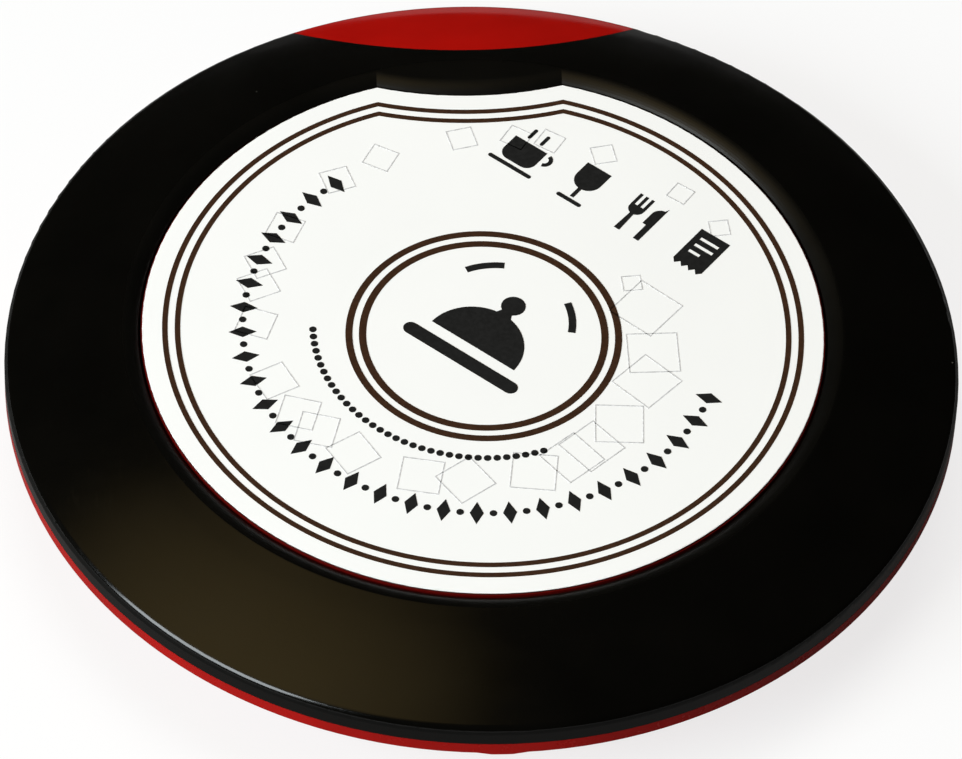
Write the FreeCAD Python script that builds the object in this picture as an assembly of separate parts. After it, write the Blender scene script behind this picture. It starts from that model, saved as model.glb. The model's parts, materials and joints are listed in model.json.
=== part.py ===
import FreeCAD, Part
import math
import os

# Wireless waiter call button, a flat round table device. Millimetres, Z up.
# The origin is the centre of the circle that the feet stand in. The notch of the
# button and the red window point to +Y, and the pry lip of the casing to -Y.

# Casing and cover outline
ring_width = 12.05
foot_stand = 0.7
taper_run = 5.5
taper_rise = 5.5
rim_band = 1.2
edge_height = 2.1
edge_inset = 0.53
dome_bulge = math.radians(4.5)
crest_land = 0.25
wall = 1.6
seam_gap = 0.05
base_edge_round = 1.0
rim_edge_round = 0.25

# Round opening of the cover with its soft bevel
label_depth = 0.35
bevel_run = 1.3
bevel_drop = 0.6
bevel_steps = 6
bevel_ease_share = 0.75
collar_depth = 2.75
collar_wall = 1.3
overrun = 1.0

# Button, its printed plate and the notch that keys both
label_radius = 30.6
notch_depth = 2.4
notch_arc_radius = 31.8
label_thickness = 0.2
label_edge_round = 0.06
label_margin = 0.1
button_gap = 0.25
plate_thickness = 1.8
skirt_wall = 1.0
hook_height = 0.9
hook_reach = 0.9
hook_half_angle = 8.0
hook_angles = (15.0, 165.0, 270.0)
stop_gap = 0.1
post_radius = 3.0
post_height = 0.4
press_travel = 0.6

# Red window at the back
bridge_width = 5.8
window_gap = 0.05

# Joint of the two casings
tongue_gap = 0.2
tongue_wall = 1.0
tongue_height = 0.8
seal_height = 0.5

# Pry lip under the rim
lip_width = 7.0
lip_end_run = 2.6
lip_drop = 0.2
lip_depth = 1.2

# Case screws, their bosses and counterbores
screw_angles = (45.0, 135.0, 225.0, 315.0)
boss_radius = 2.4
boss_merge = 0.5
head_boss_wall = 0.85
boss_joint_height = 4.5
screw_radius = 1.0
screw_play = 0.1
screw_pilot_gap = 0.03
screw_head_radius = 1.9
screw_head_height = 1.3
head_play = 0.25
counterbore_depth = 1.9
screw_length = 6.4
cross_width = 0.5
cross_length = 2.2
cross_depth = 0.6

# Feet and blank rating recess underneath
foot_angles = (0.0, 90.0, 180.0, 270.0)
foot_radius = 3.5
foot_inset = 7.0
foot_recess = 0.5
foot_gap = 0.1
foot_edge_round = 0.3
rating_length = 20.0
rating_width_share = 0.575
rating_depth = 0.25
rating_gap = 0.2
rating_thickness = 0.12

# Coin cell and its compartment
cell_radius = 10.0
cell_height = 3.2
cell_cap_inset = 1.4
cell_cap_height = 0.35
cell_edge_round = 0.3
cell_gap = 0.1
contact_space = 1.0

# Battery door, a turned disc with a neck and three bayonet lugs
door_flange = 1.7
door_thickness = 1.2
door_gap = 0.25
door_edge_round = 0.2
door_seal_height = 0.4
door_seal_gap = 0.1
neck_wall = 1.55
neck_cell_gap = 0.35
neck_gap = 0.08
ledge_height = 0.8
lug_angles = (90.0, 210.0, 330.0)
lug_half_angle = 14.0
lug_play_angle = 3.0
lug_height = 0.8
lug_reach = 1.2
lug_gap = 0.1
well_gap = 0.3
well_wall = 1.8
door_turn = 45.0
stop_half_angle = 2.0
stop_play_angle = 1.5
coin_slot_length = 16.0
coin_slot_width = 1.8
coin_slot_depth = 0.6

# Circuit board and the posts that carry it
board_gap = 1.45
board_thickness = 1.0
board_tab_width = 10.0
board_tab_margin = 0.3
board_post_radius = 2.2
board_post_inset = 4.0
board_post_angles = (30.0, 150.0, 270.0)
board_screw_radius = 0.8
board_screw_length = 4.0
board_screw_head_radius = 1.8
board_screw_head_height = 1.1
board_screw_floor = 0.6

# Foam pads between board and button
pad_radius = 2.5
pad_inset = 6.5
pad_angles = (90.0, 210.0, 330.0)

# Push switch
switch_width = 6.2
switch_height = 2.0
frame_thickness = 0.2
frame_side = 5.2
stem_radius = 1.7
stem_hole_gap = 0.1
stem_gap = 0.05
stem_bury = 1.5
stem_spare = 0.55
leg_width = 0.7
leg_length = 1.2
leg_thickness = 0.25
leg_place_share = 0.36

# Controller chip, transistor, resonator and small parts
chip_length = 5.0
chip_width = 4.0
chip_height = 1.5
chip_x = -11.5
chip_y = 5.5
chip_leads_per_side = 4
lead_pitch = 1.27
lead_width = 0.4
lead_length = 1.0
lead_thickness = 0.2
transistor_length = 2.9
transistor_width = 1.4
transistor_height = 1.1
transistor_x = 11.0
transistor_y = -8.0
resonator_length = 5.0
resonator_width = 3.5
resonator_height = 1.3
resonator_x = 12.0
resonator_y = 1.5
small_length = 2.0
small_width = 1.25
resistor_height = 0.55
capacitor_height = 0.9
small_pitch = 2.6
column_pitch = 4.0
small_count = 3
resistor_x = -8.0
resistor_y = -10.0
capacitor_x = 6.5
capacitor_y = 9.0
coil_length = 3.0
coil_width = 2.6
coil_height = 1.8
coil_x = 14.5
coil_y = -3.5
coil_pitch = 3.6

# Wire loop that sends the call
antenna_inset = 1.3
antenna_width = 0.8
antenna_height = 0.3
antenna_half_angle = 160.0

# Lamp and light guide under the red window
lamp_length = 3.5
lamp_width = 2.8
lamp_height = 1.0
lamp_place_share = 0.45
guide_width = 3.0
guide_half_angle = 17.0
guide_lamp_gap = 0.2
guide_window_gap = 0.05

# Battery contacts
strip_thickness = 0.25
strip_width = 4.0
strip_start = 8.0
strip_pad = 4.0
strip_tail = 1.5
strip_tail_rise = 0.3
clip_gap = 0.05
clip_foot = 2.4
clip_play = 0.15

# Heights, worked out from the floor up
base_z = foot_stand
floor_z = base_z + wall
rim_z = base_z + taper_rise
parting_z = rim_z + rim_band
edge_z = parting_z + edge_height
door_top_z = base_z + door_thickness
cell_z = door_top_z + cell_gap
cell_top_z = cell_z + cell_height
board_z = cell_top_z + contact_space
board_top_z = board_z + board_thickness
switch_top_z = board_top_z + switch_height
stem_top_z = switch_top_z + press_travel + stem_spare
plate_low_z = stem_top_z + stem_gap + post_height
plate_top_z = plate_low_z + plate_thickness
label_z = plate_top_z + label_thickness
crest_z = label_z + label_depth
collar_z = crest_z - collar_depth
boss_joint_z = base_z + boss_joint_height
head_seat_z = base_z + counterbore_depth
ledge_z = door_top_z + door_seal_height
ledge_top_z = ledge_z + ledge_height
lug_low_z = ledge_top_z + lug_gap
lug_top_z = lug_low_z + lug_height
tongue_top_z = parting_z + tongue_height
seal_top_z = tongue_top_z + seal_height
lamp_top_z = board_top_z + lamp_height

# Radii and places, worked out from the button outwards
opening_offset = label_margin + button_gap
opening_radius = label_radius + opening_offset
crest_radius = opening_radius + bevel_run + crest_land
body_radius = opening_radius + ring_width
edge_radius = body_radius - edge_inset
flat_radius = body_radius - taper_run
tongue_outer = body_radius - wall - tongue_gap
tongue_inner = tongue_outer - tongue_wall
notch_apex_y = label_radius - notch_depth
arc_centre_y = notch_apex_y + notch_arc_radius
window_apex_y = notch_apex_y + bridge_width
window_arc_radius = arc_centre_y - window_apex_y
screw_circle = opening_radius + collar_wall + boss_radius - boss_merge
head_boss_radius = screw_head_radius + head_play + head_boss_wall
foot_circle = flat_radius - foot_inset
board_radius = screw_circle - boss_radius - board_gap
board_post_circle = board_radius - board_post_inset
antenna_circle = board_radius - antenna_inset
pad_circle = board_radius - pad_inset
lamp_y = window_apex_y + (tongue_inner - window_apex_y) * lamp_place_share
board_tab_end = lamp_y + lamp_width / 2 + board_tab_margin
cell_cap_radius = cell_radius - cell_cap_inset
neck_inner = cell_radius + neck_cell_gap
neck_outer = neck_inner + neck_wall
bore_radius = neck_outer + neck_gap
lug_outer = neck_outer + lug_reach
well_inner = lug_outer + well_gap
well_outer = well_inner + well_wall
door_radius = neck_outer + door_flange
recess_radius = door_radius + door_gap
rating_room = foot_circle - foot_radius - foot_gap - recess_radius
rating_width = rating_room * rating_width_share
rating_y = -recess_radius - rating_room / 2

# Domed top of the cover, an arc from the rounded edge to the crest
dome_run = edge_radius - crest_radius
dome_rise = crest_z - edge_z
dome_angle = math.atan2(dome_rise, dome_run)
rim_slope = dome_angle + dome_bulge
edge_round = edge_inset / (1 - math.sin(rim_slope))
dome_radius = math.hypot(dome_rise, dome_run) / (2 * math.sin(dome_bulge))
dome_centre_r = edge_radius - dome_radius * math.sin(rim_slope)
dome_centre_z = edge_z - dome_radius * math.cos(rim_slope)
dome_wall = wall / math.cos(dome_angle)


def vector(x, y, z):
    return FreeCAD.Vector(x, y, z)


def about_axis(shape, angle):
    """Turn a copy of the shape about the vertical axis."""
    copy = shape.copy()
    copy.rotate(vector(0, 0, 0), vector(0, 0, 1), angle)
    return copy


def joined(shapes):
    """Fuse overlapping shapes into one clean solid."""
    whole = shapes[0]
    for shape in shapes[1:]:
        whole = whole.fuse(shape)
    return whole.removeSplitter()


def turned(start, *steps):
    """Revolve a closed outline of (radius, height) points. A pair is an arc through the first."""
    edges = []
    here = vector(start[0], 0, start[1])
    for step in steps:
        if isinstance(step[0], tuple):
            through = vector(step[0][0], 0, step[0][1])
            there = vector(step[1][0], 0, step[1][1])
            edges.append(Part.Arc(here, through, there).toShape())
        else:
            there = vector(step[0], 0, step[1])
            edges.append(Part.makeLine(here, there))
        here = there
    edges.append(Part.makeLine(here, vector(start[0], 0, start[1])))
    face = Part.Face(Part.Wire(edges))
    return face.revolve(vector(0, 0, 0), vector(0, 0, 1), 360)


def cylinder(radius, low, high, x=0, y=0):
    return Part.makeCylinder(radius, high - low, vector(x, y, low))


def ring(inner, outer, low, high):
    return turned((inner, low), (outer, low), (outer, high), (inner, high))


def sector(inner, outer, low, high, angle, half_angle):
    """Piece of a ring, centred on an angle."""
    corners = [(inner, low), (outer, low), (outer, high), (inner, high), (inner, low)]
    wire = Part.makePolygon([vector(r, 0, z) for r, z in corners])
    piece = Part.Face(wire).revolve(vector(0, 0, 0), vector(0, 0, 1), 2 * half_angle)
    return about_axis(piece, angle - half_angle)


def block(length, width, low, high, x=0, y=0):
    """Box centred on a place in plan."""
    return Part.makeBox(length, width, high - low, vector(x - length / 2, y - width / 2, low))


def at_angles(shape, angles):
    return [about_axis(shape, angle) for angle in angles]


def round_edges(shape, radius, z, size):
    """Round the circular edges of one radius and height."""
    near = size / 100
    picked = []
    for edge in shape.Edges:
        curve = edge.Curve
        if not isinstance(curve, Part.Circle):
            continue
        if abs(curve.Radius - radius) < near and abs(curve.Center.z - z) < near:
            picked.append(edge)
    return shape.makeFillet(size, picked)


def keyed_wire(offset, z):
    """Outline of the button, a circle with one arc cut into it, grown by an offset."""
    radius = label_radius + offset
    bite = notch_arc_radius - offset
    y = (radius**2 - bite**2 + arc_centre_y**2) / (2 * arc_centre_y)
    x = math.sqrt(radius**2 - y**2)
    rim = Part.Arc(vector(x, y, z), vector(0, -radius, z), vector(-x, y, z))
    notch = Part.Arc(vector(-x, y, z), vector(0, arc_centre_y - bite, z), vector(x, y, z))
    return Part.Wire([rim.toShape(), notch.toShape()])


def keyed_block(offset, low, high):
    return Part.Face(keyed_wire(offset, low)).extrude(vector(0, 0, high - low))


def dome_height(radius):
    return dome_centre_z + math.sqrt(dome_radius**2 - (radius - dome_centre_r) ** 2)


def dome_point(radius, drop):
    return (radius, dome_height(radius) - drop)


def dome_arc(start_radius, end_radius, drop):
    """Arc of the domed top, lowered by a drop, as one step of an outline."""
    middle = (start_radius + end_radius) / 2
    return (dome_point(middle, drop), dome_point(end_radius, drop))


def cover_shell():
    """The whole upper skin, before its opening and window are cut."""
    round_z = edge_z - edge_round * math.cos(rim_slope)
    half = (math.pi / 2 - rim_slope) / 2
    round_r = body_radius - edge_round
    rounding = (round_r + edge_round * math.cos(half), round_z + edge_round * math.sin(half))
    low_z = parting_z + seam_gap
    inner = body_radius - wall
    return turned(
        (body_radius, low_z),
        (body_radius, round_z),
        (rounding, (edge_radius, edge_z)),
        dome_arc(edge_radius, crest_radius, 0),
        (0, crest_z),
        (0, crest_z - dome_wall),
        dome_point(crest_radius, dome_wall),
        dome_arc(crest_radius, tongue_inner, dome_wall),
        (tongue_inner, seal_top_z),
        (inner, seal_top_z),
        (inner, low_z),
    )


def under_cover(drop):
    """Everything below the domed skin, lowered by a drop."""
    return turned(
        (0, 0),
        (tongue_inner, 0),
        dome_point(tongue_inner, drop),
        dome_arc(tongue_inner, crest_radius, drop),
        (0, crest_z - drop),
    )


def bevel_cutter():
    """Cutter that widens in steps, steep at first and easing off towards the crest."""
    places = []
    for step in range(bevel_steps + 1):
        out_share = step / bevel_steps
        up_share = out_share + bevel_ease_share * out_share * (1 - out_share)
        z = crest_z - bevel_drop * (1 - up_share)
        places.append((opening_offset + bevel_run * out_share, z))
    (last_out, last_z), (out, z) = places[-2:]
    growth = overrun * (out - last_out) / (z - last_z)
    places[-1] = (out + growth, z + overrun)
    return Part.makeLoft([keyed_wire(out, z) for out, z in places], True, True)


def cover_boss():
    """Boss that takes a case screw, up to the middle of the skin."""
    boss = cylinder(boss_radius, boss_joint_z, crest_z, screw_circle, 0)
    return boss.common(under_cover(dome_wall / 2))


def pilot_hole():
    top = head_seat_z + screw_length + screw_play
    return cylinder(screw_radius + screw_pilot_gap, boss_joint_z, top, screw_circle, 0)


def top_cover():
    """Black ring with the button's collar, the screw bosses and the bite for the window."""
    cover = cover_shell().cut(keyed_block(opening_offset, 0, crest_z + overrun))
    cover = cover.cut(bevel_cutter())
    collar_top = crest_z - dome_wall / 2
    collar_top = min(collar_top, crest_z - bevel_drop)
    collar = keyed_block(opening_offset + collar_wall, collar_z, collar_top)
    collar = collar.cut(keyed_block(opening_offset, collar_z, collar_top))
    cover = joined([cover, collar] + at_angles(cover_boss(), screw_angles))
    for hole in at_angles(pilot_hole(), screw_angles):
        cover = cover.cut(hole)
    return cover.cut(cylinder(window_arc_radius, 0, crest_z + overrun, 0, arc_centre_y))


def indicator_window():
    """Red crescent that completes the skin at the back."""
    radius = window_arc_radius - window_gap
    return cover_shell().common(cylinder(radius, 0, crest_z + overrun, 0, arc_centre_y))


def casing_skin():
    """Floor, tapered side, red rim band and the tongue that enters the cover."""
    taper = math.atan2(taper_rise, taper_run)
    rise = wall / math.cos(taper)
    floor_radius = flat_radius + (wall - rise) / math.tan(taper)
    inner_z = base_z + (tongue_inner - flat_radius) * math.tan(taper) + rise
    skin = turned(
        (0, base_z),
        (flat_radius, base_z),
        (body_radius, rim_z),
        (body_radius, parting_z),
        (tongue_outer, parting_z),
        (tongue_outer, tongue_top_z),
        (tongue_inner, tongue_top_z),
        (tongue_inner, inner_z),
        (floor_radius, floor_z),
        (0, floor_z),
    )
    skin = round_edges(skin, flat_radius, base_z, base_edge_round)
    return round_edges(skin, body_radius, rim_z, rim_edge_round)


def pry_lip():
    """Small lip below the rim with sloping ends, where a blade lifts the cover."""
    half = lip_width / 2
    flat = half - lip_end_run
    end_z = rim_z + rim_edge_round
    low = rim_z - lip_drop
    corners = [
        (-half, parting_z),
        (-half, end_z),
        (-flat, low),
        (flat, low),
        (half, end_z),
        (half, parting_z),
    ]
    lip = strip(corners, lip_depth)
    lip.translate(vector(0, lip_depth / 2 - body_radius, 0))
    return lip.common(cylinder(body_radius, 0, crest_z))


def battery_well():
    """Ledge that holds the door's lugs, the wall round it and the stops of the turn."""
    ledge = ring(bore_radius, well_outer, floor_z, ledge_top_z)
    well = ring(well_inner, well_outer, floor_z, board_z)
    slot_half = lug_half_angle + lug_play_angle
    slot = sector(0, lug_outer + well_gap, 0, ledge_top_z + overrun, -door_turn, slot_half)
    for gap in at_angles(slot, lug_angles):
        ledge = ledge.cut(gap)
    away = lug_half_angle + stop_play_angle + stop_half_angle
    stop_inner = neck_outer + well_gap
    shut = sector(stop_inner, well_outer, ledge_top_z, lug_top_z, away, stop_half_angle)
    opened = sector(stop_inner, well_outer, ledge_top_z, lug_top_z, -door_turn - away, stop_half_angle)
    stops = at_angles(shut, lug_angles) + at_angles(opened, lug_angles)
    return [ledge, well] + stops


def base_boss():
    return cylinder(head_boss_radius, floor_z - wall / 2, boss_joint_z - seam_gap, screw_circle, 0)


def base_screw_holes():
    """Counterbore for the head and a clear hole for the shank."""
    head = cylinder(screw_head_radius + head_play, 0, head_seat_z, screw_circle, 0)
    shank = cylinder(screw_radius + screw_play, 0, crest_z, screw_circle, 0)
    return head.fuse(shank)


def board_post():
    return cylinder(board_post_radius, floor_z - wall / 2, board_z, board_post_circle, 0)


def board_pilot_hole():
    low = board_top_z - board_screw_length - board_screw_floor
    radius = board_screw_radius + screw_pilot_gap
    return cylinder(radius, low, crest_z, board_post_circle, 0)


def foot_pocket():
    return cylinder(foot_radius + foot_gap, 0, base_z + foot_recess, foot_circle, 0)


def rating_pocket():
    length = rating_length + 2 * rating_gap
    width = rating_width + 2 * rating_gap
    return block(length, width, 0, base_z + rating_depth, 0, rating_y)


def base_shell():
    """Red lower casing with all that stands on its floor."""
    bosses = at_angles(base_boss(), screw_angles)
    posts = at_angles(board_post(), board_post_angles)
    door_hole = cylinder(bore_radius, 0, ledge_top_z)
    door_recess = cylinder(recess_radius, 0, ledge_z)
    slot_half = lug_half_angle + lug_play_angle
    slot = sector(0, lug_outer + well_gap, 0, floor_z, -door_turn, slot_half)
    skin = joined([casing_skin(), pry_lip()] + bosses + posts)
    skin = skin.cut(door_hole)
    for gap in at_angles(slot, lug_angles):
        skin = skin.cut(gap)
    shell = joined([skin] + battery_well())
    shell = shell.cut(door_recess)
    holes = at_angles(base_screw_holes(), screw_angles)
    holes += at_angles(board_pilot_hole(), board_post_angles)
    holes += at_angles(foot_pocket(), foot_angles)
    for hole in holes + [rating_pocket()]:
        shell = shell.cut(hole)
    return shell


def case_seal():
    return ring(tongue_inner, tongue_outer, tongue_top_z, seal_top_z)


def cross_cut(radius_place, low, high):
    """Cross for a screwdriver."""
    one = block(cross_length, cross_width, low, high, radius_place, 0)
    other = block(cross_width, cross_length, low, high, radius_place, 0)
    return one.fuse(other)


def case_screw():
    low = head_seat_z - screw_head_height
    tip = head_seat_z + screw_length
    head = cylinder(screw_head_radius, low, head_seat_z, screw_circle, 0)
    shank = cylinder(screw_radius, head_seat_z - screw_head_height / 2, tip, screw_circle, 0)
    return joined([head, shank]).cut(cross_cut(screw_circle, low, low + cross_depth))


def board_screw():
    high = board_top_z + board_screw_head_height
    head = cylinder(board_screw_head_radius, board_top_z, high, board_post_circle, 0)
    tip = board_top_z - board_screw_length
    root = board_top_z + board_screw_head_height / 2
    shank = cylinder(board_screw_radius, tip, root, board_post_circle, 0)
    return joined([head, shank]).cut(cross_cut(board_post_circle, high - cross_depth, high))


def rubber_foot():
    foot = turned((0, 0), (foot_radius, 0), (foot_radius, base_z + foot_recess), (0, base_z + foot_recess))
    foot = round_edges(foot, foot_radius, 0, foot_edge_round)
    foot.translate(vector(foot_circle, 0, 0))
    return foot


def rating_label():
    high = base_z + rating_depth
    return block(rating_length, rating_width, high - rating_thickness, high, 0, rating_y)


def button_cap():
    """Keyed plate with a skirt, three hooks under the collar and a post on the switch."""
    plate = keyed_block(label_margin, plate_low_z, plate_top_z)
    hook_top = collar_z - stop_gap
    hook_low = hook_top - hook_height
    skirt = keyed_block(label_margin, hook_low, plate_top_z)
    skirt = skirt.cut(keyed_block(label_margin - skirt_wall, hook_low, plate_top_z))
    post = cylinder(post_radius, plate_low_z - post_height, plate_top_z)
    inner = label_radius + label_margin - skirt_wall / 2
    hook = sector(inner, opening_radius + hook_reach, hook_low, hook_top, 0, hook_half_angle)
    return joined([plate, skirt, post] + at_angles(hook, hook_angles))


def label_plate():
    """Printed plate on the button, its upper edge slightly rounded."""
    plate = keyed_block(0, plate_top_z, label_z)
    upper = [edge for edge in plate.Edges if abs(edge.CenterOfMass.z - label_z) < label_edge_round / 100]
    return plate.makeFillet(label_edge_round, upper)


def foam_pad():
    return cylinder(pad_radius, board_top_z, plate_low_z, pad_circle, 0)


def circuit_board():
    """Round board with a tab for the lamp and holes for its screws."""
    disc = cylinder(board_radius, board_z, board_top_z)
    tab = block(board_tab_width, board_tab_end, board_z, board_top_z, 0, board_tab_end / 2)
    board = joined([disc, tab])
    radius = board_screw_radius + screw_play
    hole = cylinder(radius, 0, crest_z, board_post_circle, 0)
    for opening in at_angles(hole, board_post_angles):
        board = board.cut(opening)
    return board


def stem_hole(low, high):
    return cylinder(stem_radius + stem_hole_gap, low, high)


def switch_body():
    top = switch_top_z - frame_thickness
    body = block(switch_width, switch_width, board_top_z, top)
    return body.cut(stem_hole(top - stem_bury, top))


def switch_frame():
    low = switch_top_z - frame_thickness
    return block(frame_side, frame_side, low, switch_top_z).cut(stem_hole(low, switch_top_z))


def switch_plunger():
    """Round stem that follows the button, free of the well it dips into."""
    well_z = switch_top_z - frame_thickness - stem_bury
    return cylinder(stem_radius, well_z + press_travel + stem_hole_gap, stem_top_z)


def switch_legs():
    legs = []
    x = switch_width / 2 + leg_length / 2
    for side_x in (-1, 1):
        for side_y in (-1, 1):
            y = side_y * switch_width * leg_place_share
            top = board_top_z + leg_thickness
            legs.append(block(leg_length, leg_width, board_top_z, top, side_x * x, y))
    return Part.makeCompound(legs)


def on_board(length, width, height, x, y):
    return block(length, width, board_top_z, board_top_z + height, x, y)


def lead_row(length, x, y, count):
    """Row of flat leads along X beside a chip's edge."""
    leads = []
    for number in range(count):
        place = x + (number - (count - 1) / 2) * lead_pitch
        leads.append(on_board(lead_width, length, lead_thickness, place, y))
    return leads


def controller_chip():
    return on_board(chip_length, chip_width, chip_height, chip_x, chip_y)


def rf_transistor():
    height = transistor_height
    return on_board(transistor_length, transistor_width, height, transistor_x, transistor_y)


def saw_resonator():
    height = resonator_height
    return on_board(resonator_length, resonator_width, height, resonator_x, resonator_y)


def chip_leads():
    """Leads on both sides of the controller and of the transistor."""
    leads = []
    for side in (-1, 1):
        y = chip_y + side * (chip_width + lead_length) / 2
        leads += lead_row(lead_length, chip_x, y, chip_leads_per_side)
        y = transistor_y + side * (transistor_width + lead_length) / 2
        leads += lead_row(lead_length, transistor_x, y, 1 if side > 0 else 2)
    return Part.makeCompound(leads)


def small_row(height, x, y):
    """Row of small two-ended parts."""
    parts = []
    for number in range(small_count):
        parts.append(on_board(small_length, small_width, height, x, y + number * small_pitch))
    return parts


def resistors():
    rows = small_row(resistor_height, resistor_x, resistor_y)
    rows += small_row(resistor_height, resistor_x - column_pitch, resistor_y)
    return Part.makeCompound(rows)


def capacitors():
    rows = small_row(capacitor_height, capacitor_x, capacitor_y)
    rows += small_row(capacitor_height, resistor_x + column_pitch, resistor_y)
    return Part.makeCompound(rows)


def inductors():
    first = on_board(coil_length, coil_width, coil_height, coil_x, coil_y)
    second = on_board(coil_length, coil_width, coil_height, coil_x + coil_pitch, coil_y)
    return Part.makeCompound([first, second])


def antenna_loop():
    inner = antenna_circle - antenna_width / 2
    outer = antenna_circle + antenna_width / 2
    high = board_top_z + antenna_height
    return sector(inner, outer, board_top_z, high, -90, antenna_half_angle)


def light_guide():
    """Clear bar that follows the crescent and fits under it."""
    low = lamp_top_z + guide_lamp_gap
    inner = lamp_y - guide_width / 2
    bar = sector(inner, inner + guide_width, low, crest_z, 90, guide_half_angle)
    return bar.common(under_cover(dome_wall + guide_window_gap))


def coin_cell():
    shoulder = cell_top_z - cell_cap_height
    cell = turned(
        (0, cell_z),
        (cell_radius, cell_z),
        (cell_radius, shoulder),
        (cell_cap_radius, shoulder),
        (cell_cap_radius, cell_top_z),
        (0, cell_top_z),
    )
    return round_edges(cell, cell_radius, cell_z, cell_edge_round)


def strip(points, width):
    """Bent strip of metal, an outline in X and Z carried across Y."""
    wire = Part.makePolygon([vector(x, -width / 2, z) for x, z in points + points[:1]])
    return Part.Face(wire).extrude(vector(0, width, 0))


def negative_contact():
    """Leaf on the underside of the board that presses on the middle of the cell."""
    top = board_z
    low = cell_top_z
    bend = strip_pad - strip_start
    points = [
        (-strip_start, top),
        (bend, top),
        (0, low + strip_thickness),
        (strip_tail, low + strip_tail_rise + strip_thickness),
        (strip_tail, low + strip_tail_rise),
        (0, low),
        (bend, top - strip_thickness),
        (-strip_start, top - strip_thickness),
    ]
    return strip(points, strip_width)


def positive_contact():
    """Clip that stands beside the cell and turns outward under the board."""
    near = cell_radius + clip_gap
    far = near + strip_thickness
    points = [
        (near, board_z),
        (near, lug_top_z + clip_play),
        (far, lug_top_z + clip_play),
        (far, board_z - strip_thickness),
        (near + clip_foot, board_z - strip_thickness),
        (near + clip_foot, board_z),
    ]
    return strip(points, strip_width)


def battery_door():
    """Disc with a neck round the cell, three lugs and a slot for a coin."""
    disc = turned((0, base_z), (door_radius, base_z), (door_radius, door_top_z), (0, door_top_z))
    disc = round_edges(disc, door_radius, base_z, door_edge_round)
    neck = ring(neck_inner, neck_outer, base_z + door_thickness / 2, lug_top_z)
    lug = sector(neck_inner + neck_wall / 2, lug_outer, lug_low_z, lug_top_z, 0, lug_half_angle)
    door = joined([disc, neck] + at_angles(lug, lug_angles))
    return door.cut(block(coin_slot_length, coin_slot_width, 0, base_z + coin_slot_depth))


def door_seal():
    inner = neck_outer + door_seal_gap
    outer = door_radius - door_seal_gap
    return ring(inner, outer, door_top_z, ledge_z - seam_gap)


def write(name, shape):
    shape.exportStep("parts/" + name + ".step")


def group(shape, angles):
    return Part.makeCompound(at_angles(shape, angles))


os.makedirs("parts", exist_ok=True)
write("base_shell", base_shell())
write("top_cover", top_cover())
write("indicator_window", indicator_window())
write("case_seal", case_seal())
write("case_screws", group(case_screw(), screw_angles))
write("rubber_feet", group(rubber_foot(), foot_angles))
write("rating_label", rating_label())
write("button_cap", button_cap())
write("label_plate", label_plate())
write("foam_pads", group(foam_pad(), pad_angles))
write("circuit_board", circuit_board())
write("board_screws", group(board_screw(), board_post_angles))
write("switch_body", switch_body())
write("switch_frame", switch_frame())
write("switch_legs", switch_legs())
write("switch_plunger", switch_plunger())
write("controller_chip", controller_chip())
write("chip_leads", chip_leads())
write("rf_transistor", rf_transistor())
write("saw_resonator", saw_resonator())
write("resistors", resistors())
write("capacitors", capacitors())
write("inductors", inductors())
write("antenna_loop", antenna_loop())
write("indicator_lamp", on_board(lamp_length, lamp_width, lamp_height, 0, lamp_y))
write("light_guide", light_guide())
write("coin_cell", coin_cell())
write("negative_contact", negative_contact())
write("positive_contact", positive_contact())
write("battery_door", battery_door())
write("door_seal", door_seal())
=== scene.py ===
import json
import math

import bmesh
import bpy
from mathutils import Matrix, Vector


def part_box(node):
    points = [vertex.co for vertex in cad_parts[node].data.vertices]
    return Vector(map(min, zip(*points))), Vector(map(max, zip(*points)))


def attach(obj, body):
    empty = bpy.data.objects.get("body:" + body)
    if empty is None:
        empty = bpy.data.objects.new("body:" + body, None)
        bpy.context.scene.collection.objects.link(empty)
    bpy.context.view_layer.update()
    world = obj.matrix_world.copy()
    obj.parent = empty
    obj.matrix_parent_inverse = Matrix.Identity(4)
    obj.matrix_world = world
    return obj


# Looks of the waiter call button. Metres, Z up. The notch points to +Y.
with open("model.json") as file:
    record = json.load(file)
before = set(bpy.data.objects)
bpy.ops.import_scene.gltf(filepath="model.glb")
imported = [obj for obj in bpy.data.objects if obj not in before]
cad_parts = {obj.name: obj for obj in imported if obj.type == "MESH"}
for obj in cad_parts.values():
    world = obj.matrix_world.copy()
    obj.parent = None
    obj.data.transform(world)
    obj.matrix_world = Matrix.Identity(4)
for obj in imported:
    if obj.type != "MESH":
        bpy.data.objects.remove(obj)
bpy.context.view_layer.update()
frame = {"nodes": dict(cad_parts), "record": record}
nodes = frame["nodes"]

mm = 0.001

# Sizes of the button's plate, as the solids have them
label_radius = 30.6 * mm
notch_centre_y = 60.0 * mm
notch_radius = 31.8 * mm
crest_radius = 32.4 * mm
label_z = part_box("label_plate")[1].z

# Cover: how much duller its bevel is, and how softly that begins at the crest
bevel_dulling = 0.20
crest_blend = 0.3 * mm

# Plate: painted shade, a dark red, below the first depth under its top, standing for the shade of the gap
# round it; white above the second
edge_shade_depth = 0.05 * mm
edge_white_depth = 0.02 * mm

# Dust on the cover
speck_pitch = 3.2 * mm
speck_colour = (0.22, 0.21, 0.19)

# Print on the plate, drawn in millimetres apart from its thickness
ink_height = 0.03 * mm
ink_bury = 0.02 * mm
print_turn = math.radians(-40.0)
centre_y = -0.95

# Bands of the rings: offsets from the plate's edge, then radii round the centre
ring_bands = ((-2.30, -1.80), (-3.43, -2.93))
centre_bands = ((11.77, 12.41), (10.54, 11.20))

# The large bell and the row of small pictograms
bell_scale = 1.25
row_radius = 19.4
row_pitch = 6.6

# Rows of beads: radius, first and last angle, count, and whether every other bead is a lozenge
bead_rows = ((21.6, 126, 336, 55, True), (15.3, 180, 288, 35, False))
bead_radius = 0.34
bead_steps = 14
lozenge_reach = 1.25
lozenge_across = 0.62

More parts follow.
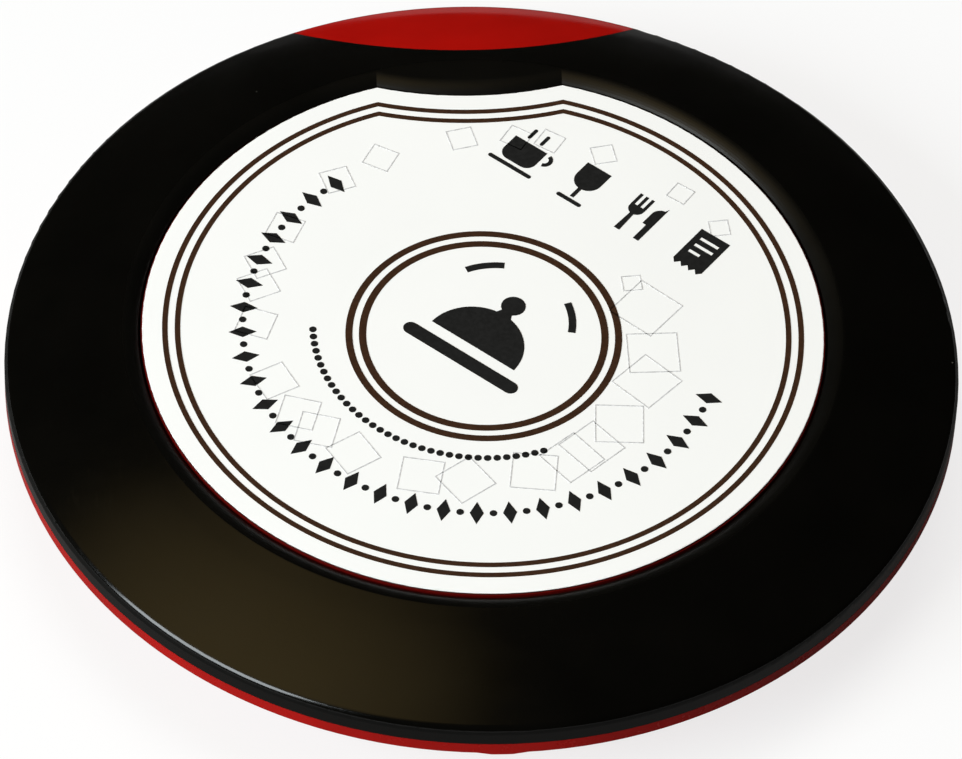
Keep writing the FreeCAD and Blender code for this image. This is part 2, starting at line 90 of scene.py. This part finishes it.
# Faint tiles, spread by the golden section over a range of radii and sizes
tile_count = 26
tile_half_line = 0.07
tile_near = 14.5
tile_spread = 10.5
tile_small = 1.2
tile_growth = 2.2
tile_turn = 0.3
tile_first_angle = 20
golden_angle = 137.5
golden_part = 0.618
golden_rest = 0.382

# Light of the room: dim all round, with a warm patch overhead to the left
dim_light = (0.012, 0.012, 0.010)
warm_light = (1.0, 0.72, 0.28)
glow_direction = Vector((-0.42, -0.06, 0.905))
glow_spread = math.radians(28.0)

# Mirrors come to see the background over this drop below the horizon, on a unit vector
horizon_blend = 0.01

# Floor: greys that it throws back, greys that the camera sees, and its glow for the camera
floor_half = 1.5
floor_thrown = (0.145, 0.155)
floor_shown = (0.19, 0.20)
floor_glow = 0.78

# Distances over which mirrors and glass come to see the floor as pale
pale_start = 160 * mm
pale_end = 300 * mm

# Camera, fitted to the outlines in the photograph
camera_distance = 0.650
camera_azimuth = math.radians(-4.3)
camera_elevation = math.radians(49.75)
camera_roll = math.radians(2.42)
camera_lens = 268.0
camera_sensor = 36.0
camera_near = 0.01
camera_far = 20.0
aim_height = 3.0 * mm
aim_right = 0.06 * mm
aim_up = 1.63 * mm


# Materials

class Look:
    """A node material with short calls."""

    def __init__(self, name):
        self.material = bpy.data.materials.new(name)
        self.material.use_nodes = True
        self.tree = self.material.node_tree
        self.tree.nodes.clear()
        self.output = self.add("ShaderNodeOutputMaterial")
        self.shader = self.add("ShaderNodeBsdfPrincipled")
        self.link(self.shader, "BSDF", self.output, "Surface")
        self.place = self.add("ShaderNodeTexCoord")

    def add(self, kind, **values):
        node = self.tree.nodes.new(kind)
        for name, value in values.items():
            setattr(node, name, value)
        return node

    def link(self, source, output, target, socket):
        self.tree.links.new(source.outputs[output], target.inputs[socket])

    def set(self, **values):
        for name, value in values.items():
            self.shader.inputs[name.replace("_", " ")].default_value = value

    def noise(self, size, detail=3.0, rough=0.5, stretch=None):
        """Noise whose features measure about the size given."""
        node = self.add("ShaderNodeTexNoise")
        node.inputs["Scale"].default_value = 1 / size
        node.inputs["Detail"].default_value = detail
        node.inputs["Roughness"].default_value = rough
        if stretch:
            mapping = self.add("ShaderNodeMapping")
            mapping.inputs["Scale"].default_value = stretch
            self.link(self.place, "Object", mapping, "Vector")
            self.link(mapping, "Vector", node, "Vector")
        else:
            self.link(self.place, "Object", node, "Vector")
        return node

    def ramp(self, source, output, stops):
        """Colour ramp over a texture. A stop is a place and a colour or a grey."""
        node = self.add("ShaderNodeValToRGB")
        band = node.color_ramp
        while len(band.elements) < len(stops):
            band.elements.new(0.5)
        for element, (where, value) in zip(band.elements, stops):
            element.position = where
            grey = not isinstance(value, tuple)
            element.color = (value, value, value, 1) if grey else (*value, 1)
        self.link(source, output, node, "Fac")
        return node

    def drifting(self, source, colour, drift):
        """Ramp from a darker to a paler shade of a colour."""
        stops = ((0.3, shade(colour, 1 - drift)), (0.7, shade(colour, 1 + drift)))
        return self.ramp(source, "Fac", stops)

    def mix(self, factor, first, second):
        """Mix of two colour outputs by a third."""
        node = self.add("ShaderNodeMix", data_type="RGBA")
        self.tree.links.new(factor, node.inputs["Factor"])
        self.tree.links.new(first, node.inputs["A"])
        self.tree.links.new(second, node.inputs["B"])
        return node.outputs["Result"]

    def bump(self, source, output, strength, distance, after=None):
        node = self.add("ShaderNodeBump")
        node.inputs["Strength"].default_value = strength
        node.inputs["Distance"].default_value = distance
        self.link(source, output, node, "Height")
        if after:
            self.link(after, "Normal", node, "Normal")
        return node

    def to(self, source, output, socket):
        self.link(source, output, self.shader, socket)


def between(tree, value, low, high, curve="SMOOTHSTEP"):
    """Step of a value from 0 at the low end to 1 at the high end."""
    node = tree.nodes.new("ShaderNodeMapRange")
    node.interpolation_type = curve
    node.inputs["From Min"].default_value = low
    node.inputs["From Max"].default_value = high
    tree.links.new(value, node.inputs["Value"])
    return node.outputs["Result"]


def shade(colour, factor):
    return tuple(min(1.0, part * factor) for part in colour)


def dusted(look, base, dust):
    """Base colour with a few pale specks on it."""
    specks = look.add("ShaderNodeTexVoronoi", feature="F1")
    specks.inputs["Scale"].default_value = 1 / speck_pitch
    look.link(look.place, "Object", specks, "Vector")
    spots = look.ramp(specks, "Distance", ((0.018, 1.0), (0.032, 0.0)))
    few = look.ramp(look.noise(5 * mm, 1), "Fac", ((0.56, 0.0), (0.62, dust)))
    amount = look.add("ShaderNodeMath", operation="MULTIPLY")
    look.link(spots, "Color", amount, 0)
    look.link(few, "Color", amount, 1)
    pale = look.add("ShaderNodeRGB")
    pale.outputs[0].default_value = (*speck_colour, 1)
    return look.mix(amount.outputs[0], base, pale.outputs[0])


def plastic(name, colour, rough, drift=0.12, haze=0.06, scratches=0.5, dust=0.0, peel=0.12):
    """Moulded plastic: soft drift of tone, hazy patches, hair scratches, specks and a faint peel."""
    look = Look(name)
    base = look.drifting(look.noise(9 * mm, 4), colour, drift).outputs["Color"]
    if dust:
        base = dusted(look, base, dust)
    look.tree.links.new(base, look.shader.inputs["Base Color"])
    smear = look.noise(6 * mm, 5, 0.6, (1.0, 2.2, 1.0))
    hair = look.noise(0.5 * mm, 2, 0.5, (1.0, 0.04, 1.0))
    haze_ramp = look.ramp(smear, "Fac", ((0.35, rough), (0.75, rough + haze)))
    hair_ramp = look.ramp(hair, "Fac", ((0.62, 0.0), (0.7, 0.05 * scratches)))
    total = look.add("ShaderNodeMath", operation="ADD")
    look.link(haze_ramp, "Color", total, 0)
    look.link(hair_ramp, "Color", total, 1)
    look.to(total, "Value", "Roughness")
    wave = look.bump(look.noise(1.6 * mm, 2), "Fac", peel, 0.01 * mm)
    fine = look.bump(hair, "Fac", 0.05 * scratches, 0.01 * mm, wave)
    look.to(fine, "Normal", "Normal")
    return look


def grained(name, colour, rough, grain=0.25 * mm, depth=0.35, drift=0.15):
    """Matt surface with an even grain and a little dust in it."""
    look = Look(name)
    look.to(look.drifting(look.noise(3 * mm, 4), colour, drift), "Color", "Base Color")
    wear = look.ramp(look.noise(4 * mm, 3), "Fac", ((0.3, rough - 0.06), (0.7, rough + 0.06)))
    look.to(wear, "Color", "Roughness")
    look.to(look.bump(look.noise(grain, 2), "Fac", depth, 0.02 * mm), "Normal", "Normal")
    return look


def metal(name, colour, rough, stretch=(1.0, 0.06, 1.0)):
    """Sheet or plated metal with fine drawn lines."""
    look = Look(name)
    lines = look.noise(0.25 * mm, 3, 0.6, stretch)
    tone = look.ramp(lines, "Fac", ((0.3, shade(colour, 0.85)), (0.7, shade(colour, 1.08))))
    look.to(tone, "Color", "Base Color")
    wear = look.ramp(look.noise(1.5 * mm, 4), "Fac", ((0.3, rough - 0.07), (0.7, rough + 0.08)))
    look.to(wear, "Color", "Roughness")
    look.set(Metallic=1.0)
    look.to(look.bump(lines, "Fac", 0.12, 0.01 * mm), "Normal", "Normal")
    return look


def board_look(name, colour):
    """Green board with tracks under its mask."""
    look = Look(name)
    bricks = look.add("ShaderNodeTexBrick", offset=0.35, squash=1.3)
    bricks.inputs["Scale"].default_value = 1 / (5 * mm)
    bricks.inputs["Mortar Size"].default_value = 0.035
    bricks.inputs["Mortar Smooth"].default_value = 0.2
    bricks.inputs["Color1"].default_value = (*colour, 1)
    bricks.inputs["Color2"].default_value = (*shade(colour, 0.85), 1)
    bricks.inputs["Mortar"].default_value = (*shade(colour, 1.7), 1)
    look.link(look.place, "Object", bricks, "Vector")
    look.to(bricks, "Color", "Base Color")
    wear = look.ramp(look.noise(2 * mm, 3), "Fac", ((0.3, 0.28), (0.7, 0.4)))
    look.to(wear, "Color", "Roughness")
    look.to(look.bump(bricks, "Fac", 0.3, 0.02 * mm), "Normal", "Normal")
    return look


def window_look(name, colour):
    """Tinted window: clear skin over a deeper red body."""
    look = plastic(name, colour, 0.05, drift=0.10, haze=0.03, peel=0.08)
    look.set(Subsurface_Weight=0.15, Subsurface_Scale=1.0 * mm)
    look.shader.inputs["Subsurface Radius"].default_value = (1.0, 0.2, 0.1)
    return look


def label_look(name, colour, side):
    """Printed plate under a matt film, white on top, with painted shade in dark red on its cut edge for the
    gap round it, and rubbed patches.
    """
    look = Look(name)
    tone = look.ramp(look.noise(14 * mm, 3), "Fac", ((0.3, shade(colour, 0.985)), (0.7, colour)))
    # Painted shade: a dark red on the plate's cut edge, patchy by noise, standing for the shade of the gap
    # round the plate
    edge = look.ramp(look.noise(1 * mm, 2), "Fac", ((0.3, side), (0.7, shade(side, 1.5))))
    parts = look.add("ShaderNodeSeparateXYZ")
    look.link(look.place, "Object", parts, "Vector")
    top = between(look.tree, parts.outputs["Z"], label_z - edge_shade_depth, label_z - edge_white_depth)
    base = look.mix(top, edge.outputs["Color"], tone.outputs["Color"])
    look.tree.links.new(base, look.shader.inputs["Base Color"])
    rub = look.ramp(look.noise(7 * mm, 5, 0.6), "Fac", ((0.35, 0.58), (0.7, 0.68)))
    look.to(rub, "Color", "Roughness")
    look.to(look.bump(look.noise(0.6 * mm, 2), "Fac", 0.05, 0.01 * mm), "Normal", "Normal")
    return look


def ink_look(name, colour, rough=0.55):
    """Printed ink with slight loss of cover."""
    look = Look(name)
    stops = ((0.35, shade(colour, 0.8)), (0.75, shade(colour, 1.25)))
    tone = look.ramp(look.noise(0.35 * mm, 3), "Fac", stops)
    look.to(tone, "Color", "Base Color")
    wear = look.ramp(look.noise(2 * mm, 3), "Fac", ((0.3, rough - 0.05), (0.7, rough + 0.08)))
    look.to(wear, "Color", "Roughness")
    look.set(Specular_IOR_Level=0.2)
    return look


def cover_look(name, colour):
    """Glossy black of the ring, duller on the bevel that runs down to the button."""
    look = plastic(name, colour, 0.13, drift=0.25, haze=0.05, scratches=0.6, dust=0.6, peel=0.10)
    gloss = look.shader.inputs["Roughness"].links[0].from_socket
    flat = look.add("ShaderNodeVectorMath", operation="MULTIPLY")
    flat.inputs[1].default_value = (1, 1, 0)
    look.link(look.place, "Object", flat, 0)
    away = look.add("ShaderNodeVectorMath", operation="LENGTH")
    look.link(flat, "Vector", away, 0)
    outer, inner = crest_radius + crest_blend, crest_radius - crest_blend
    inside = between(look.tree, away.outputs["Value"], outer, inner)
    duller = look.add("ShaderNodeMath", operation="MULTIPLY_ADD")
    duller.inputs[1].default_value = bevel_dulling
    look.tree.links.new(inside, duller.inputs[0])
    look.tree.links.new(gloss, duller.inputs[2])
    look.to(duller, "Value", "Roughness")
    return look


red = (0.42, 0.007, 0.005)
looks = {
    "casing_red": plastic("casing_red", red, 0.24),
    "cover_black": cover_look("cover_black", (0.0018, 0.0016, 0.0012)),
    "window_red": window_look("window_red", (0.38, 0.005, 0.003)),
    # The button's red is painted shade: the casing's red made far darker, for the deep gap round the plate
    "button_red": plastic("button_red", (0.12, 0.003, 0.002), 0.30),
    "door_red": plastic("door_red", red, 0.26, scratches=1.0),
    # The plate's second colour, a dark red, is painted shade on its cut edge
    "label_white": label_look("label_white", (0.92, 0.92, 0.915), (0.05, 0.012, 0.010)),
    "seal_rubber": grained("seal_rubber", (0.03, 0.03, 0.03), 0.75),
    "foot_rubber": grained("foot_rubber", (0.025, 0.025, 0.027), 0.8, 0.15 * mm, 0.5),
    "pad_foam": grained("pad_foam", (0.10, 0.10, 0.11), 0.9, 0.3 * mm, 0.9),
    "sticker_white": grained("sticker_white", (0.80, 0.80, 0.78), 0.5, 0.1 * mm, 0.1, 0.03),
    "screw_steel": metal("screw_steel", (0.55, 0.55, 0.56), 0.32, (1.0, 1.0, 0.1)),
    "frame_steel": metal("frame_steel", (0.62, 0.62, 0.60), 0.30),
    "lead_tin": metal("lead_tin", (0.70, 0.70, 0.70), 0.35),
    "can_metal": metal("can_metal", (0.72, 0.70, 0.62), 0.3),
    "loop_brass": metal("loop_brass", (0.72, 0.50, 0.20), 0.32),
    "contact_brass": metal("contact_brass", (0.74, 0.62, 0.36), 0.28),
    "cell_steel": metal("cell_steel", (0.68, 0.68, 0.69), 0.26),
    "switch_black": grained("switch_black", (0.02, 0.02, 0.02), 0.5, 0.1 * mm, 0.2),
    "chip_black": grained("chip_black", (0.02, 0.02, 0.022), 0.55, 0.08 * mm, 0.3),
    "stem_white": grained("stem_white", (0.75, 0.74, 0.70), 0.42, 0.2 * mm, 0.1),
    "resistor_dark": grained("resistor_dark", (0.03, 0.03, 0.035), 0.35, 0.1 * mm, 0.2),
    "capacitor_tan": grained("capacitor_tan", (0.45, 0.32, 0.18), 0.45, 0.1 * mm, 0.3),
    "coil_grey": grained("coil_grey", (0.12, 0.12, 0.13), 0.6, 0.1 * mm, 0.4),
    "lamp_white": grained("lamp_white", (0.80, 0.78, 0.70), 0.2, 0.3 * mm, 0.05),
    "guide_clear": grained("guide_clear", (0.80, 0.80, 0.81), 0.15, 0.5 * mm, 0.05),
    "board_green": board_look("board_green", (0.02, 0.16, 0.07)),
}
looks["cover_black"].set(Specular_IOR_Level=0.36)
looks["window_red"].set(Specular_IOR_Level=0.05)
for name in ("casing_red", "button_red", "door_red"):
    looks[name].set(Specular_IOR_Level=0.15)
looks["label_white"].set(Specular_IOR_Level=0.15)
looks["guide_clear"].set(Transmission_Weight=0.7)

slots = {row["node"]: row["material_slot"] for row in frame["record"]["subparts"]}
for name, node in nodes.items():
    material = looks[slots[name]].material
    for slot in node.material_slots:
        slot.material = material


# Print, thin closed pieces that lie on the plate

def add_piece(name, mesh, material, body="button"):
    piece = bpy.data.objects.new(name, mesh)
    bpy.context.scene.collection.objects.link(piece)
    mesh.materials.append(material)
    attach(piece, body)


def keyed_outline(offset, steps=360, notch_steps=48):
    """Points of the plate's outline grown by an offset, the round part first and then the notch."""
    radius = label_radius + offset
    bite = notch_radius - offset
    y = (radius**2 - bite**2 + notch_centre_y**2) / (2 * notch_centre_y)
    x = math.sqrt(radius**2 - y**2)
    start = math.atan2(y, -x)
    end = math.atan2(y, x) + 2 * math.pi
    points = []
    for i in range(steps):
        angle = start + (end - start) * i / steps
        points.append((radius * math.cos(angle), radius * math.sin(angle)))
    half = math.asin(x / bite)
    for i in range(notch_steps):
        angle = -math.pi / 2 + half - 2 * half * i / notch_steps
        points.append((bite * math.cos(angle), notch_centre_y + bite * math.sin(angle)))
    return points


def circle(radius, steps=240, y=0.0):
    turn = 2 * math.pi / steps
    return [(radius * math.cos(turn * i), y + radius * math.sin(turn * i)) for i in range(steps)]


def band_between(shape, inner, outer):
    """Closed thin band between two outlines with matching points."""
    low, high = label_z - ink_bury, label_z + ink_height
    count = len(inner)
    rows = [[shape.verts.new((x, y, z)) for x, y in line]
            for line, z in ((inner, low), (outer, low), (outer, high), (inner, high))]
    for k in range(4):
        one, other = rows[k], rows[(k + 1) % 4]
        for i in range(count):
            j = (i + 1) % count
            shape.faces.new((one[i], one[j], other[j], other[i]))


def finish_mesh(name, shape):
    bmesh.ops.recalc_face_normals(shape, faces=shape.faces)
    mesh = bpy.data.meshes.new(name)
    shape.to_mesh(mesh)
    shape.free()
    return mesh


def stamp(shape, loops):
    """Closed thin piece from one outer loop and any holes, all of them counterclockwise in plan."""
    low, high = label_z - ink_bury, label_z + ink_height
    walls = []
    for loop in loops:
        bottom = [shape.verts.new((x, y, low)) for x, y in loop]
        top = [shape.verts.new((x, y, high)) for x, y in loop]
        walls.append((bottom, top))
    for ends in (0, 1):
        edges = []
        for wall in walls:
            ring = wall[ends]
            for i, vert in enumerate(ring):
                edges.append(shape.edges.new((vert, ring[(i + 1) % len(ring)])))
        bmesh.ops.triangle_fill(shape, use_beauty=True, edges=edges)
    for bottom, top in walls:
        for i in range(len(bottom)):
            j = (i + 1) % len(bottom)
            shape.faces.new((bottom[i], bottom[j], top[j], top[i]))


def arc(x, y, radius, start, end, steps=16):
    """Points on an arc, angles in degrees."""
    points = []
    for i in range(steps + 1):
        angle = math.radians(start + (end - start) * i / steps)
        points.append((x + radius * math.cos(angle), y + radius * math.sin(angle)))
    return points


def bar(x0, y0, x1, y1, width):
    """Outline of a bar with round ends."""
    angle = math.degrees(math.atan2(y1 - y0, x1 - x0))
    half = width / 2
    return arc(x1, y1, half, angle - 90, angle + 90, 8) + arc(x0, y0, half, angle + 90, angle + 270, 8)


def bow(x, y, radius, start, end, width):
    """Outline of a curved bar with square ends."""
    outer = arc(x, y, radius + width / 2, start, end)
    return outer + arc(x, y, radius - width / 2, end, start)


# Pictograms in millimetres about their own centre, each a list of closed pieces

def bell():
    dome = arc(0, -1.3, 3.7, 0, 80) + arc(0, 3.5, 0.9, -60, 240) + arc(0, -1.3, 3.7, 100, 180)
    return [
        [dome],
        [bar(-4.5, -2.75, 4.5, -2.75, 1.1)],
        [bow(0, 1.6, 5.4, 28, 58, 0.55)],
        [bow(0, 1.6, 5.4, 122, 152, 0.55)],
    ]


def cup():
    body = [(-1.9, 0.9), *arc(-0.9, -0.9, 1.0, 180, 270, 8), *arc(0.7, -0.9, 1.0, 270, 360, 8), (1.7, 0.9)]
    return [
        [body],
        [bow(1.95, 0.1, 0.62, -75, 75, 0.4)],
        [bar(-2.3, -2.45, 2.1, -2.45, 0.42)],
        [bar(-0.8, 1.5, -0.8, 2.5, 0.36)],
        [bar(0.6, 1.5, 0.6, 2.5, 0.36)],
    ]


def glass():
    bowl = [(-1.35, 2.4), *arc(0, 0.7, 1.35, 180, 262, 10), (-0.2, -1.9), (0.2, -1.9),
            *arc(0, 0.7, 1.35, 278, 360, 10), (1.35, 2.4)]
    return [[bowl], [bar(-1.15, -2.35, 1.15, -2.35, 0.42)]]


def cutlery():
    knife = [(0.75, -2.4), (1.35, -2.4), (1.35, 2.4), *arc(1.35, 1.0, 1.0, 100, 180, 8),
             (0.35, -0.4), (0.75, -0.4)]
    tines = [(-1.9, 2.4), (-1.9, 0.9), *arc(-1.1, 0.7, 0.8, 195, 255, 6), (-1.4, -2.4), (-0.8, -2.4),
             *arc(-1.1, 0.7, 0.8, 285, 345, 6), (-0.3, 0.9), (-0.3, 2.4), (-0.62, 2.4), (-0.62, 1.0),
             (-0.94, 1.0), (-0.94, 2.4), (-1.26, 2.4), (-1.26, 1.0), (-1.58, 1.0), (-1.58, 2.4)]
    return [[knife], [tines]]


def bill():
    teeth = [(-1.6 + 0.4 * i, -2.4 if i % 2 else -1.95) for i in range(9)]
    sheet = teeth + [(1.6, 2.4), (-1.6, 2.4)]
    rules = [[(-1.0, y - 0.17), (w, y - 0.17), (w, y + 0.17), (-1.0, y + 0.17)]
             for y, w in ((1.4, 1.0), (0.5, 1.0), (-0.4, 0.2))]
    return [[sheet] + rules]


def lozenge(size, across):
    return [(size, 0), (0, across), (-size, 0), (0, -across)]


def placed(loop, x, y, turn, scale=1.0):
    """A loop in millimetres, turned, scaled and moved to a place on the plate, in metres."""
    c, s = math.cos(turn) * scale, math.sin(turn) * scale
    return [((x + px * c - py * s) * mm, (y + px * s + py * c) * mm) for px, py in loop]


def polar(radius, angle):
    return radius * math.cos(angle), radius * math.sin(angle)


def print_rings():
    """Double line along the plate's edge and double circle round the bell."""
    shape = bmesh.new()
    for inner, outer in ring_bands:
        band_between(shape, keyed_outline(inner * mm), keyed_outline(outer * mm))
    for inner, outer in centre_bands:
        band_between(shape, circle(inner * mm, y=centre_y * mm), circle(outer * mm, y=centre_y * mm))
    mesh = finish_mesh("print_rings", shape)
    add_piece("print_rings", mesh, ink_look("ink_brown", (0.040, 0.017, 0.008)).material)


def print_symbols():
    """Bell, row of pictograms, and beads along two arcs."""
    shape = bmesh.new()
    for loops in bell():
        stamp(shape, [placed(loop, 0, centre_y, print_turn, bell_scale) for loop in loops])
    row = (cup, glass, cutlery, bill)
    x0, y0 = polar(row_radius, math.pi / 2 + print_turn)
    for i, picture in enumerate(row):
        along = (i - (len(row) - 1) / 2) * row_pitch
        x, y = x0 + along * math.cos(print_turn), y0 + along * math.sin(print_turn)
        for loops in picture():
            stamp(shape, [placed(loop, x, y, print_turn) for loop in loops])
    for radius, start, end, count, mixed in bead_rows:
        for i in range(count):
            angle = math.radians(start + (end - start) * i / (count - 1))
            x, y = polar(radius, angle)
            if mixed and i % 2 == 0:
                mark = lozenge(lozenge_reach, lozenge_across)
            else:
                mark = circle(bead_radius, bead_steps)
            stamp(shape, [placed(mark, x, y, angle)])
    mesh = finish_mesh("print_symbols", shape)
    add_piece("print_symbols", mesh, ink_look("ink_black", (0.012, 0.012, 0.012)).material)


def print_pattern():
    """Faint outlines of tilted tiles, spread by a fixed formula."""
    shape = bmesh.new()
    for i in range(tile_count):
        radius = tile_near + tile_spread * ((i * golden_part) % 1.0)
        angle = math.radians(i * golden_angle + tile_first_angle)
        size = tile_small + tile_growth * ((i * golden_rest) % 1.0)
        wide, narrow = size + tile_half_line, size - tile_half_line
        x, y = polar(radius, angle)
        turn = print_turn + tile_turn * i
        inner = placed(lozenge(narrow, narrow), x, y, turn)
        outer = placed(lozenge(wide, wide), x, y, turn)
        band_between(shape, inner, outer)
    mesh = finish_mesh("print_pattern", shape)
    add_piece("print_pattern", mesh, ink_look("ink_grey", (0.62, 0.62, 0.63)).material)


print_rings()
print_symbols()
print_pattern()


# Floor, light and camera

def joined_by(tree, operation, first, second):
    node = tree.nodes.new("ShaderNodeMath")
    node.operation = operation
    tree.links.new(first, node.inputs[0])
    tree.links.new(second, node.inputs[1])
    return node.outputs[0]


def background_rays(tree, mask):
    """Rays that show the background: the camera's, and those of mirrors and glass where the mask is one."""
    path = tree.nodes.new("ShaderNodeLightPath")
    bent = joined_by(tree, "MAXIMUM", path.outputs["Is Glossy Ray"], path.outputs["Is Transmission Ray"])
    bent = joined_by(tree, "MULTIPLY", bent, mask)
    return joined_by(tree, "MAXIMUM", path.outputs["Is Camera Ray"], bent)


def floor_look():
    """Floor that the camera sees as pale, that throws little light back, and that is clear from below."""
    look = Look("floor")
    cloud = look.noise(0.4, 3)
    tone = look.ramp(cloud, "Fac", ((0.3, floor_thrown[0]), (0.7, floor_thrown[1])))
    look.to(tone, "Color", "Base Color")
    look.set(Roughness=0.9)
    pale = look.add("ShaderNodeBsdfDiffuse")
    paler = look.ramp(cloud, "Fac", ((0.3, floor_shown[0]), (0.7, floor_shown[1])))
    look.link(paler, "Color", pale, "Color")
    glow = look.add("ShaderNodeEmission")
    glow.inputs["Color"].default_value = (1, 1, 1, 1)
    glow.inputs["Strength"].default_value = floor_glow
    shown = look.add("ShaderNodeAddShader")
    look.link(pale, "BSDF", shown, 0)
    look.link(glow, "Emission", shown, 1)
    away = look.add("ShaderNodeVectorMath", operation="LENGTH")
    look.link(look.place, "Object", away, 0)
    far = between(look.tree, away.outputs["Value"], pale_start, pale_end)
    both = look.add("ShaderNodeMixShader")
    look.tree.links.new(background_rays(look.tree, far), both.inputs["Fac"])
    look.tree.links.new(look.shader.outputs["BSDF"], both.inputs[1])
    look.tree.links.new(shown.outputs[0], both.inputs[2])
    side = look.add("ShaderNodeNewGeometry")
    clear = look.add("ShaderNodeBsdfTransparent")
    ends = look.add("ShaderNodeMixShader")
    look.link(side, "Backfacing", ends, "Fac")
    look.tree.links.new(both.outputs[0], ends.inputs[1])
    look.tree.links.new(clear.outputs[0], ends.inputs[2])
    look.tree.links.new(ends.outputs[0], look.output.inputs["Surface"])
    return look.material


def make_floor():
    shape = bmesh.new()
    signs = ((-1, -1), (1, -1), (1, 1), (-1, 1))
    shape.faces.new([shape.verts.new((x * floor_half, y * floor_half, 0)) for x, y in signs])
    mesh = finish_mesh("floor", shape)
    mesh.materials.append(floor_look())
    floor = bpy.data.objects.new("floor", mesh)
    bpy.context.scene.collection.objects.link(floor)
    floor.visible_shadow = False


def make_world():
    """Dim light with a warm patch overhead. The background is white, up to the horizon for mirrors."""
    world = bpy.data.worlds.new("studio")
    world.use_nodes = True
    bpy.context.scene.world = world
    tree = world.node_tree
    tree.nodes.clear()
    output = tree.nodes.new("ShaderNodeOutputWorld")
    light = tree.nodes.new("ShaderNodeBackground")
    light.inputs["Strength"].default_value = 1.0
    seen = tree.nodes.new("ShaderNodeBackground")
    seen.inputs["Color"].default_value = (1, 1, 1, 1)
    seen.inputs["Strength"].default_value = 1.0
    view = tree.nodes.new("ShaderNodeTexCoord")
    parts = tree.nodes.new("ShaderNodeSeparateXYZ")
    tree.links.new(view.outputs["Generated"], parts.inputs["Vector"])
    level = between(tree, parts.outputs["Z"], 0.0, -horizon_blend)
    facing = tree.nodes.new("ShaderNodeVectorMath")
    facing.operation = "DOT_PRODUCT"
    tree.links.new(view.outputs["Generated"], facing.inputs[0])
    facing.inputs[1].default_value = glow_direction.normalized()
    near = between(tree, facing.outputs["Value"], math.cos(glow_spread), 1.0, "LINEAR")
    warm = tree.nodes.new("ShaderNodeValToRGB")
    warm.color_ramp.elements[0].color = (*dim_light, 1)
    warm.color_ramp.elements[1].color = (*warm_light, 1)
    tree.links.new(near, warm.inputs["Fac"])
    tree.links.new(warm.outputs["Color"], light.inputs["Color"])
    both = tree.nodes.new("ShaderNodeMixShader")
    tree.links.new(background_rays(tree, level), both.inputs["Fac"])
    tree.links.new(light.outputs[0], both.inputs[1])
    tree.links.new(seen.outputs[0], both.inputs[2])
    tree.links.new(both.outputs[0], output.inputs["Surface"])


def direction(azimuth, elevation):
    """Unit vector towards a place round the object, azimuth 0 at -Y."""
    a, e = math.radians(azimuth), math.radians(elevation)
    return Vector((math.sin(a) * math.cos(e), -math.cos(a) * math.cos(e), math.sin(e)))


def add_lamp(name, azimuth, elevation, distance, width, height, power, colour, mirrored=True):
    """Soft lamp that looks at the object. One that isn't mirrored leaves no glare on gloss."""
    data = bpy.data.lights.new(name, "AREA")
    data.shape = "RECTANGLE"
    data.size = width
    data.size_y = height
    data.energy = power
    data.color = colour
    lamp = bpy.data.objects.new(name, data)
    bpy.context.scene.collection.objects.link(lamp)
    lamp.visible_glossy = mirrored
    away = direction(azimuth, elevation)
    lamp.location = away * distance
    lamp.rotation_mode = "QUATERNION"
    lamp.rotation_quaternion = (-away).to_track_quat("-Z", "Y")


def make_camera():
    data = bpy.data.cameras.new("camera")
    data.sensor_width = camera_sensor
    data.lens = camera_lens
    data.clip_start = camera_near
    data.clip_end = camera_far
    camera = bpy.data.objects.new("camera", data)
    bpy.context.scene.collection.objects.link(camera)
    back = direction(math.degrees(camera_azimuth), math.degrees(camera_elevation))
    right = Vector((math.cos(camera_azimuth), math.sin(camera_azimuth), 0))
    up = back.cross(right)
    c, s = math.cos(camera_roll), math.sin(camera_roll)
    right, up = right * c + up * s, up * c - right * s
    aim = Vector((0, 0, aim_height))
    position = aim + back * camera_distance
    aim += right * aim_right + up * aim_up
    forward = (aim - position).normalized()
    right = forward.cross(up).normalized()
    up = right.cross(forward)
    camera.rotation_mode = "QUATERNION"
    rows = ((right.x, up.x, -forward.x), (right.y, up.y, -forward.y), (right.z, up.z, -forward.z))
    camera.rotation_quaternion = Matrix(rows).to_quaternion()
    camera.location = position
    bpy.context.scene.camera = camera


make_floor()
make_world()
add_lamp("main", azimuth=176, elevation=66, distance=1.0, width=0.60, height=0.60, power=4.7,
         colour=(1.0, 0.99, 0.98), mirrored=False)
add_lamp("strip", azimuth=-61, elevation=32, distance=0.9, width=0.60, height=0.42, power=10.0,
         colour=(0.90, 0.97, 1.0))
add_lamp("fill", azimuth=0, elevation=-84, distance=0.8, width=0.40, height=0.40, power=3.0,
         colour=(1.0, 1.0, 1.0), mirrored=False)
make_camera()
bpy.context.scene.view_settings.view_transform = "Standard"
